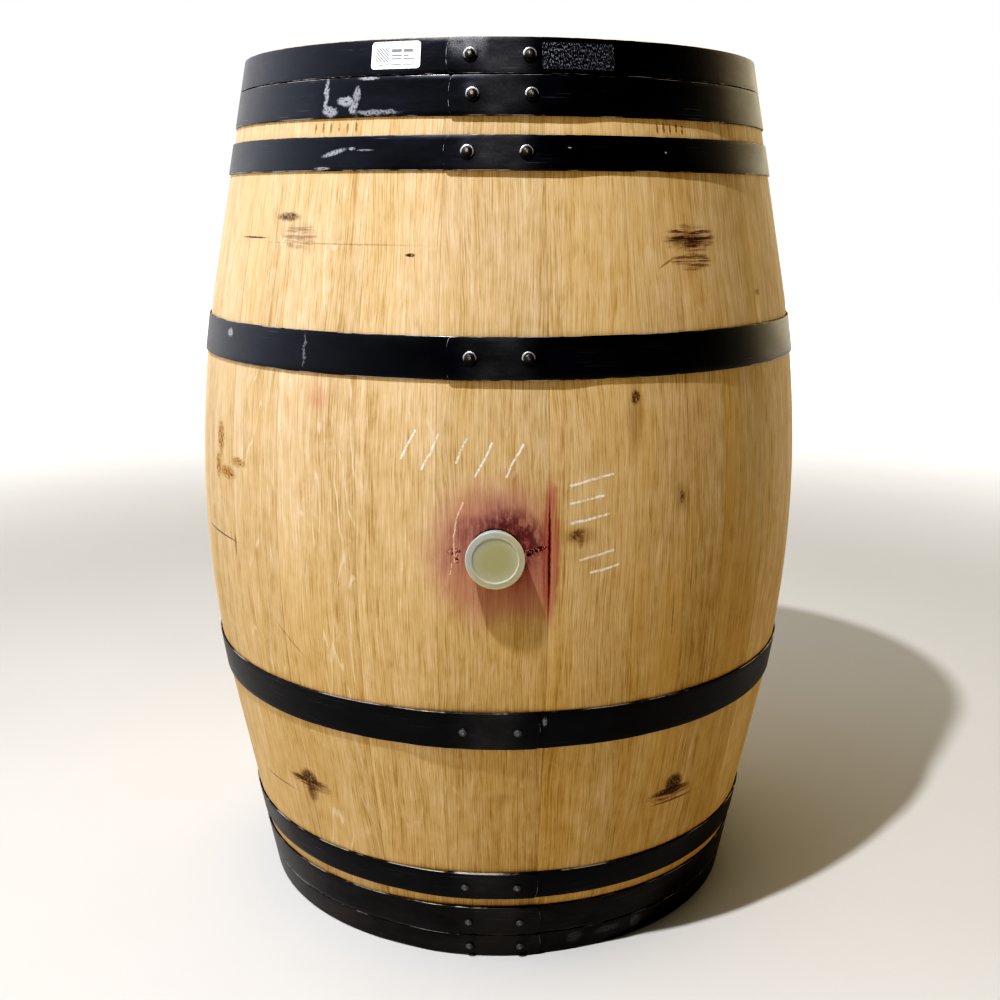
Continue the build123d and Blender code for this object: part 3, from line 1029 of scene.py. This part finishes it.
def cracks_and_knots(g, m, exact, colour, speckle):
    """Dark cracks and small knots with a soft brown halo. Also gives how deep they are."""
    cracks = largest(
        exact.spot(-51.4, 766, 26, 0.9, 0.9),
        exact.spot(-14.6, 753, 5, 1.6, 0.8),
        exact.spot(-30.0, 762, 92, 0.7, 1.2) * 0.35,
        exact.spot(-60.6, 448, 47, 0.9, 0.9),
        exact.spot(-53.1, 444, 1.0, 12, 0.9),
        exact.spot(-51.0, 165, 37, 0.9, 1.0) * 0.6,
        exact.spot(37.7, 170, 29, 1.2, 1.0) * 0.7,
        exact.spot(30.5, 745, 10, 1.0, 1.0, 25) * 0.5,
        exact.spot(-38.6, 360, 26, 0.7, 1.2, -38) * 0.45,
        exact.spot(31.0, 395, 0.8, 22, 1.2) * 0.4,
    ) * speckle.rises(0.22, 0.46)
    colour = g.mix(cracks * 0.9, colour, (0.03, 0.016, 0.01))
    halo = largest(
        m.spot(22.9, 604, 8, 34, 1.4) * 0.55,
        m.spot(31.8, 519, 9, 14, 1.4) * 0.45,
        m.spot(13.3, 490, 17, 8, 1.3) * 0.6,
        m.spot(-30.6, 300, 14, 5, 1.4) * 0.3,
        m.spot(0.8, 205, 15, 6, 1.4) * 0.3,
    )
    colour = g.mix(halo * 0.65, colour, (0.22, 0.12, 0.055))
    knots = largest(
        m.spot(22.9, 621, 4.5, 6, 0.9),
        m.spot(31.8, 520, 3.0, 6, 1.0) * 0.75,
        m.spot(13.0, 492, 8, 4.5, 1.0, 25) * 0.8,
        m.spot(13.6, 487, 3, 8, 1.0) * 0.6,
        m.spot(55.0, 712, 6, 3, 1.0) * 0.5,
        m.spot(44.0, 470, 4, 10, 1.2) * 0.25,
    )
    knots = knots * speckle.rises(0.25, 0.55)
    return g.mix(knots * 0.85, colour, (0.065, 0.038, 0.025)), cracks.at_least(knots * 0.5)


def punch_marks(g, exact, colour, speckle):
    """Two rows of small punched ticks under the collar hoop."""
    ticks = []
    for first, step, count in ((-36.2, 1.9, 6), (30.8, 1.5, 5)):
        for number in range(count):
            ticks.append(exact.spot(first + step * number, 870 + number % 2, 1.5, 4.6, 0.8))
    return g.mix(largest(*ticks) * speckle.rises(0.30, 0.52) * 0.7, colour, (0.12, 0.045, 0.03))


def chalk_strokes(hand):
    """A cooper's tally: short slanting strokes above the bung, and longer level ones to its right."""
    slanting = ((-14.0, 578, 13), (-10.4, 572, 17), (-5.4, 574, 12), (-1.8, 566, 16), (3.0, 565, 15))
    level = ((15.4, 545, 21), (14.6, 526, 17), (15.0, 507, 19), (16.2, 470, 16), (17.6, 456, 14))
    strokes = []
    for places, across, up, width in ((slanting, 0.5, 1.0, 1.9), (level, 1.0, 0.2, 2.2)):
        for azimuth, z, reach in places:
            dx, dy, x = reach * across, reach * up, degrees_mm(azimuth)
            strokes.append(hand.stroke((x - dx, z - dy), (x + dx, z + dy), width, 1.2))
    return largest(*strokes)


def stave_oak(name, marked):
    """Oak with dark end grain and a toasted inside, with or without the marks of the front."""
    g = Graph(name, Specular_IOR_Level=0.3)
    colour, height, grain = oak_surface(g)
    if marked:
        colour, height = marked_wood(g, colour, height, grain)
    colour = darken_ends(g, colour)
    _, up, depth = g.split(g.attribute("place"))
    low = up.rises(620 * MM, 300 * MM)
    colour = g.mix(low, colour, g.scaled(colour, LOW_TINT))
    inside = depth.rises(THICKNESS * 0.55, THICKNESS * 0.98)
    colour = g.mix(inside, colour, g.mix(height.rises(0.2, 0.7), TOAST, (0.10, 0.055, 0.03)))
    g.drive(Base_Color=colour, Roughness=height * 0.12 + 0.56)
    g.bump(height, 0.28 * MM, 0.7)
    return g.material


def head_oak():
    """Oak with broad faint scuffs."""
    g = Graph("head_oak", Specular_IOR_Level=0.3)
    colour, height, _ = oak_surface(g)
    scuffs = g.noise(g.attribute("place"), (7, 9, 7), 4.0, 0.7).rises(0.52, 0.72)
    colour = g.mix(scuffs * 0.3, colour, (0.30, 0.18, 0.10))
    g.drive(Base_Color=colour, Roughness=height * 0.12 + 0.58)
    g.bump(height, 0.3 * MM, 0.7)
    return g.material


def dowel_oak():
    g = Graph("dowel_oak", Roughness=0.6, Specular_IOR_Level=0.3)
    place = g.place()
    tone = g.noise(place, (1200, 60, 1200), 3.0)
    g.drive(Base_Color=g.mix(tone.rises(0.3, 0.7), (0.36, 0.23, 0.12), (0.60, 0.43, 0.25)))
    g.bump(tone, 0.2 * MM)
    return g.material


def dry_rush():
    g = Graph("dry_rush", Specular_IOR_Level=0.2)
    place = g.place()
    fibres = g.noise(place, (40, 2500, 2500), 3.0)
    colour = g.mix(fibres.rises(0.3, 0.7), (0.11, 0.085, 0.04), (0.36, 0.29, 0.15))
    g.drive(Base_Color=colour, Roughness=fibres * 0.2 + 0.7)
    g.bump(fibres, 0.2 * MM)
    return g.material


# --- Painted steel ---

PAINT = (0.009, 0.009, 0.011)
WEAR_AND_HIGHLIGHT_STEEL = (0.48, 0.46, 0.44)


def hoop_paint():
    """Dull black paint with dust on the laps and scrapes; a grey patch round each lap, part rubbing and part
    painted sheen; and bright edges, part wear and part painted highlight.
    """
    g = Graph("hoop_paint", Specular_IOR_Level=0.5)
    place = g.attribute("place")
    _, edge, from_lap = g.split(g.attribute("strip"))
    _, up, _ = g.split(place)
    cloud = g.noise(place, (11, 26, 11), 4.0, 0.65)
    speckle = g.noise(place, (420, 420, 420), 3.0, 0.65)
    brushed = g.noise(place, (30, 700, 30), 3.0, 0.7)
    scratch = g.noise(place, (14, 900, 14), 1.0).rises(0.66, 0.72) * cloud.rises(0.50, 0.62)

    colour = g.mix(cloud.rises(0.35, 0.75) * 0.5, PAINT, (0.026, 0.027, 0.034))
    # Grey round each lap: partly rubbing of the paint, partly a painted sheen standing for the soft
    # reflection on the bowed lap.
    rubbing_and_sheen = from_lap.absolute().rises(46 * MM, 6 * MM) * (speckle * 0.5 + cloud.rises(0.25, 0.75) * 0.6)
    colour = g.mix(rubbing_and_sheen * 0.7, colour, (0.105, 0.102, 0.099))
    dust = (from_lap + 30 * MM).absolute().rises(22 * MM, 12 * MM) * up.rises(925 * MM, 946 * MM)
    grit = g.noise(place, (1000, 1000, 1000), 2.0, 0.7)
    dust = dust * grit.rises(0.36, 0.62) * cloud.rises(0.30, 0.55)
    colour = g.mix(dust * 0.8, colour, (0.33, 0.325, 0.315))
    # The hoops are made lighter and browner below about 110 mm.
    lighter_low_down = up.rises(110 * MM, 25 * MM) * cloud.rises(0.25, 0.65)
    colour = g.mix(lighter_low_down * 0.8, colour, (0.052, 0.044, 0.036))
    colour = g.mix(scratch * 0.4, colour, (0.16, 0.16, 0.17))
    marks, rust = hoop_marks(g, place, speckle)
    colour = g.mix(marks, colour, (0.34, 0.34, 0.35))
    colour = g.mix(rust, colour, (0.10, 0.07, 0.055))
    # Bright lines along the strips' edges and the lap's cut end: part wear to the steel, part a painted
    # highlight where the edges catch the light.
    edge_patches = g.noise(place, (14, 60, 14), 4.0, 0.75)
    wear_and_highlight = edge.rises(1.0 * MM, 0.2 * MM) * edge_patches.rises(0.48, 0.60)
    colour = g.mix(wear_and_highlight * 0.75, colour, WEAR_AND_HIGHLIGHT_STEEL)
    g.drive(
        Base_Color=colour,
        Roughness=cloud * 0.22 + speckle * 0.1 + 0.24 + dust * 0.2 + marks * 0.2,
        Metallic=wear_and_highlight * 0.6,
    )
    g.bump(cloud * 1.5 + brushed * 0.12 + speckle * 0.1 - scratch * 0.1, 0.5 * MM, 0.6)
    return g.material


def hoop_marks(g, place, speckle):
    """Scrapes at their places on the hoops, and the residue of an old sticker."""
    m = Marks(g, place, (g.noise(place, (90, 90, 90), 3.0, 0.65) - 0.5) * 12)
    exact = Marks(g, place, (speckle - 0.5) * 2)
    scrapes = largest(
        m.spot(-34.0, 900, 2.6, 15, 0.6),
        m.spot(-32.8, 885, 11, 5, 0.5),
        m.spot(-29.3, 894, 12, 4.5, 0.5),
        m.spot(-26.8, 900, 5, 7, 0.5) * 0.85,
        m.spot(-27.4, 888, 4, 6, 0.6) * 0.9,
        m.spot(-22.5, 883, 26, 2.4, 0.7) * 0.75,
        exact.spot(-30.9, 847, 15, 2.2, 0.8, 12),
        exact.spot(-27.0, 850.5, 4, 1.4, 0.8),
        exact.spot(-24.2, 849, 9, 0.9, 1.0) * 0.7,
        exact.spot(-33.4, 832.5, 10, 1.3, 0.8),
        exact.spot(-24.5, 914.3, 12, 1.6, 0.8),
        m.spot(-33.6, 661, 2.0, 14, 0.8) * 0.45,
        m.spot(-55.9, 668, 6, 4.5, 0.8),
        exact.spot(8.4, 297, 2.5, 5, 0.8) * 0.8,
        m.spot(17.5, 17, 10, 7, 0.8) * 0.3,
        m.spot(25.5, 18, 17, 5, 0.8) * 0.3,
        m.spot(33.0, 17, 9, 8, 0.7) * 0.45,
        exact.spot(12.8, 851, 2.5, 0.8, 0.8),
        exact.spot(32.0, 848, 2.0, 1.2, 0.8),
    )
    flakes = g.noise(place, (600, 380, 600), 3.0, 0.8)
    old_sticker = exact.box(8.2, 22.3, 921, 945) * flakes.rises(0.48, 0.60) * 0.6
    rust = m.spot(34.6, 14, 12, 7, 0.8) * speckle.rises(0.42, 0.6) * 0.7
    return (scrapes * speckle.rises(0.34, 0.52) * 0.85).at_least(old_sticker), rust


def rivet_steel(name, nub, wear_and_highlight_share):
    """Painted rivets, bright steel along the upper half of the flange and on the nub's tip: part wear, part a
    painted highlight where light catches them.
    """
    g = Graph(name)
    radius, _, up = g.split(g.attribute("turned"))
    place = g.place()
    speckle = g.noise(place, (900, 900, 900), 3.0, 0.65)
    uneven = g.noise(place, (190, 190, 190), 3.0, 0.65)
    on_nub = radius.rises(4.6 * MM, 3.9 * MM)
    tip = radius.rises(2.0 * MM, 0.9 * MM)
    # The upper half of the flange and the nub's tip get bright steel: part wear, part a painted highlight
    # where light catches them.
    flange = radius.rises(4.6 * MM, 5.4 * MM) * (up + (uneven - 0.5) * 14 * MM).rises(-3.5 * MM, 1.5 * MM)
    wear_and_highlight = flange.at_least(tip * speckle.rises(0.40, 0.58)) * wear_and_highlight_share
    colour = g.mix(on_nub, (0.014, 0.014, 0.017), nub)
    colour = g.mix(wear_and_highlight, colour, (0.36, 0.35, 0.33))
    g.drive(Base_Color=colour, Metallic=wear_and_highlight * 0.7 + on_nub * 0.2, Roughness=speckle * 0.35 + 0.25)
    g.bump(speckle + uneven, 0.35 * MM, 0.8)
    return g.material


# --- Bung and sticker ---


def silicone():
    """Milky silicone: olive in the middle, where it is thickest, lighter towards its rim, with a painted
    bluish highlight on the rim's upper left.
    """
    g = Graph("silicone", Subsurface_Weight=0.6, Subsurface_Scale=0.01, Coat_Weight=0.1)
    g.shader.inputs["Subsurface Radius"].default_value = (1.0, 0.9, 0.55)
    turned = g.attribute("turned")
    radius, across, up = g.split(turned)
    cloud = g.noise(turned, (45, 45, 45), 3.0)
    dust = g.noise(turned, (700, 700, 700), 2.0, 0.7)
    edge = (radius + (cloud - 0.5) * 6 * MM).rises(9 * MM, 24 * MM)
    # A painted bluish highlight on the upper left of the rim.
    rim_highlight = (up - across).rises(0.0, 32 * MM) * radius.rises(16 * MM, 27 * MM)
    colour = g.mix(edge, (0.385, 0.360, 0.200), (0.440, 0.415, 0.290))
    colour = g.mix(rim_highlight, colour, (0.37, 0.385, 0.36))
    ring = radius.rises(21.4 * MM, 22.2 * MM) * radius.rises(23.6 * MM, 22.8 * MM)
    lit_below = (up * -1 + across * 0.4).rises(2 * MM, 16 * MM)
    lit_above = (up - 12 * MM + across * 0.6).rises(6 * MM, 14 * MM) * 0.5
    colour = g.mix(ring * (lit_below + lit_above).at_most(1.0) * 0.5, colour, (0.62, 0.60, 0.46))
    colour = g.mix(dust.rises(0.60, 0.75) * 0.25, colour, (0.20, 0.18, 0.11))
    g.drive(Base_Color=colour, Roughness=dust * 0.25 + 0.36)
    g.bump(dust + cloud * 2, 0.12 * MM, 0.5)
    return g.material


def sticker_paper():
    """White paper printed with a block of slanting hatch lines and plain grey bars."""
    g = Graph("sticker_paper", Specular_IOR_Level=0.4)
    place = g.attribute("place")
    m = Marks(g, place, 0.0)
    fibre = g.noise(place, (1400, 1400, 1400), 2.0)
    hatch = g.math("PINGPONG", m.x + m.y, 1.6).rises(0.5, 1.1) * 0.8
    dashes = g.noise(place, (330, 6, 1), 0.0).rises(0.36, 0.42)
    ink = m.block(4.5, 18.5, -6.5, 7.0) * hatch
    bars = ((20, 42, 2.5, 5.5), (20, 38, -1.2, 0.2), (20, 44, -4.0, -2.8), (6, 44, -9.2, -8.2))
    for left, right, low, high in bars:
        ink = ink.at_least(m.block(left, right, low, high) * dashes * 0.8)
    scuffed = g.noise(place, (180, 180, 1), 3.0, 0.7).rises(0.62, 0.74)
    colour = g.mix(ink, (0.84, 0.84, 0.83), (0.05, 0.05, 0.055))
    colour = g.mix(scuffed * 0.5 + fibre * 0.06, colour, (0.55, 0.55, 0.54))
    g.drive(Base_Color=colour, Roughness=fibre * 0.1 + 0.38)
    g.bump(fibre, 0.03 * MM)
    return g.material


def floor_paint():
    """Pale grey by the barrel, glowing white further off, so that it ends in the white backdrop."""
    g = Graph("floor_paint", Roughness=0.8, Specular_IOR_Level=0.2)
    g.shader.inputs["Emission Color"].default_value = (1, 1, 1, 1)
    place = g.place()
    tone = g.noise(place, (3, 3, 3), 3.0)
    x, y, _ = g.split(place)
    away = g.math("SQRT", x * x + y * y)
    g.drive(
        Base_Color=g.mix(tone, (0.66, 0.64, 0.59), (0.70, 0.68, 0.63)),
        Emission_Strength=away.rises(1.3, 4.2),
    )
    return g.material


# --- The object's pieces ---

MATERIALS = {
    "stave_oak": stave_oak("stave_oak", False),
    "marked_oak": stave_oak("marked_oak", True),
    "head_oak": head_oak(),
    "dowel_oak": dowel_oak(),
    "rush": dry_rush(),
    "hoop_paint": hoop_paint(),
    "upper_rivet_steel": rivet_steel("upper_rivet_steel", (0.055, 0.045, 0.036), 1.0),
    "lower_rivet_steel": rivet_steel("lower_rivet_steel", (0.13, 0.128, 0.125), 0.8),
    "silicone": silicone(),
    "sticker_paper": sticker_paper(),
    "floor_paint": floor_paint(),
}


def finish_piece(piece, body, slot, material, *nodes):
    """Gives a piece its material and its body, and hides the CAD nodes it stands for. Its slot is not used.
    """
    piece.data.materials.clear()
    piece.data.materials.append(MATERIALS[material])
    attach(piece, body)
    if nodes:
        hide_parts(*nodes)


for index, stave_name in enumerate(STAVE_NAMES):
    wood = "marked_oak" if stave_name in FRONT_WOOD else "stave_oak"
    finish_piece(make_stave(stave_name, index), "barrel", "stave_oak", wood, stave_name)

for hoop_name, (lap_middle, lap_side) in HOOPS.items():
    finish_piece(make_hoop(hoop_name, lap_middle, lap_side), "barrel", "hoop_paint", "hoop_paint", hoop_name)

for level, head_size in (("top", UPPER_HEAD), ("bottom", LOWER_HEAD)):
    own_hoops = [hoop_name for hoop_name in HOOPS if hoop_name.startswith(level)]
    rivets = make_rivets(f"steel_{level}_rivets", own_hoops, head_size)
    steel = "upper_rivet_steel" if level == "top" else "lower_rivet_steel"
    finish_piece(rivets, "barrel", "rivet_steel", steel, f"{level}_rivets")
    for board_number in range(1, BOARDS + 1):
        board_node = f"{level}_head_board_{board_number}"
        board = make_board(board_node, 1 if level == "top" else -1, board_number)
        finish_piece(board, "barrel", "head_oak", "head_oak", board_node)
    for node_name, finish in ((f"{level}_head_dowels", "dowel_oak"), (f"{level}_head_rush", "rush")):
        cad_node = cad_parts[node_name]
        cad_node.data.materials.clear()
        cad_node.data.materials.append(MATERIALS[finish])

finish_piece(make_bung(), "bung", "bung_silicone", "silicone", "bung")
finish_piece(make_sticker(), "barrel", "sticker", "sticker_paper", "hoop_sticker")

# --- Floor, light and camera ---

FLOOR_RADIUS = 9.0
CAMERA_AZIMUTH = 0.45
CAMERA_DISTANCE = 1.493
CAMERA_HEIGHT = 0.8025
CAMERA_PITCH = 13.5  # degrees down
CAMERA_ROLL = 0.17
CAMERA_LENS = 44.8  # on a 36 mm wide sensor
CAMERA_SHIFT = 0.0016
# Lights: (direction from the bung hole, distance, watts, width, colour)
KEY_LIGHT = ((-30, -33, 100), 2.6, 85.0, 0.08, (0.97, 0.99, 1.07))
FRONT_LIGHT = ((-5, -80, 52), 2.4, 2.2, 0.9, (1.0, 1.0, 1.0))
# The surround: a dim warm base, and lobes of (direction, strength, how narrow, colour)
SURROUND = 0.08
SURROUND_COLOUR = (1.0, 0.94, 0.80)
SURROUND_LOBES = (
    ((-100, -10, 25), 1.8, 3.0, (0.96, 1.0, 1.12)),
    ((60, 85, 10), 2.5, 4.0, (1.0, 0.88, 0.66)),
    ((-60, 85, 10), 1.2, 4.0, (1.0, 1.0, 1.0)),
)
# How the camera turns light into tone: darks are pushed down, as in a crisp product photo
TONE_CURVE = ((0.0, 0.0), (0.05, 0.003), (0.10, 0.018), (0.16, 0.062), (0.25, 0.15), (0.5, 0.432), (1, 1))


def make_floor():
    corners = [around(360 * step / 64, FLOOR_RADIUS, 0.0) for step in range(64)]
    floor = add_piece("floor", corners, [tuple(range(64))])
    floor.data.materials.append(MATERIALS["floor_paint"])


def add_light(name, direction, distance, watts, width, colour):
    light = bpy.data.lights.new(name, "AREA")
    light.shape = "DISK"
    light.size = width
    light.energy = watts
    light.color = colour
    lamp = bpy.data.objects.new(name, light)
    way = Vector(direction).normalized()
    lamp.location = Vector((0, -BILGE_RADIUS, BUNG_Z)) + way * distance
    lamp.rotation_euler = way.to_track_quat("Z", "Y").to_euler()
    lamp.visible_camera = False
    bpy.context.scene.collection.objects.link(lamp)


def make_world():
    """White where the camera sees it. The object is lit by a surround that is dim in front and bright at
    the left and behind."""
    world = bpy.data.worlds.new("studio")
    world.use_nodes = True
    bpy.context.scene.world = world
    tree = world.node_tree
    tree.nodes.clear()

    def combine(operation, first, second):
        made = new_node(tree, "ShaderNodeMath", operation=operation)
        for value, socket in ((first, made.inputs[0]), (second, made.inputs[1])):
            if isinstance(value, float):
                socket.default_value = value
            else:
                tree.links.new(value, socket)
        return made.outputs[0]

    def background(colour):
        made = new_node(tree, "ShaderNodeBackground")
        made.inputs["Color"].default_value = (*colour, 1)
        return made

    way = new_node(tree, "ShaderNodeTexCoord")
    surround = background(SURROUND_COLOUR)
    surround.inputs["Strength"].default_value = SURROUND
    for direction, strength, narrow, colour in SURROUND_LOBES:
        facing = new_node(tree, "ShaderNodeVectorMath", operation="DOT_PRODUCT")
        tree.links.new(way.outputs["Generated"], facing.inputs[0])
        facing.inputs[1].default_value = Vector(direction).normalized()
        lobe = combine("POWER", combine("MAXIMUM", facing.outputs["Value"], 0.0), narrow)
        glow = background(colour)
        tree.links.new(combine("MULTIPLY", lobe, strength), glow.inputs["Strength"])
        both = new_node(tree, "ShaderNodeAddShader")
        tree.links.new(surround.outputs[0], both.inputs[0])
        tree.links.new(glow.outputs[0], both.inputs[1])
        surround = both
    seen = background((1, 1, 1))
    path = new_node(tree, "ShaderNodeLightPath")
    mix = new_node(tree, "ShaderNodeMixShader")
    output = new_node(tree, "ShaderNodeOutputWorld")
    tree.links.new(path.outputs["Is Camera Ray"], mix.inputs[0])
    tree.links.new(surround.outputs[0], mix.inputs[1])
    tree.links.new(seen.outputs[0], mix.inputs[2])
    tree.links.new(mix.outputs[0], output.inputs["Surface"])


def make_camera():
    camera = bpy.data.cameras.new("camera")
    camera.lens = CAMERA_LENS
    camera.sensor_width = 36.0
    camera.shift_x = CAMERA_SHIFT
    camera.clip_end = 50.0
    stand = bpy.data.objects.new("camera", camera)
    turn = Matrix.Rotation(math.radians(CAMERA_AZIMUTH), 4, "Z")
    tilt = Matrix.Rotation(math.radians(90 - CAMERA_PITCH), 4, "X")
    roll = Matrix.Rotation(math.radians(CAMERA_ROLL), 4, "Z")
    where = Matrix.Translation(around(CAMERA_AZIMUTH, CAMERA_DISTANCE, CAMERA_HEIGHT))
    stand.matrix_world = where @ turn @ tilt @ roll
    bpy.context.scene.collection.objects.link(stand)
    bpy.context.scene.camera = stand


def set_tone():
    settings = bpy.context.scene.view_settings
    settings.view_transform = "Standard"
    settings.look = "None"
    settings.use_curve_mapping = True
    curve = settings.curve_mapping.curves[3]
    curve.points[0].location = TONE_CURVE[0]
    curve.points[1].location = TONE_CURVE[-1]
    for point in TONE_CURVE[1:-1]:
        curve.points.new(*point)
    settings.curve_mapping.update()


make_floor()
make_world()
make_camera()
add_light("key_light", *KEY_LIGHT)
add_light("front_light", *FRONT_LIGHT)
set_tone()
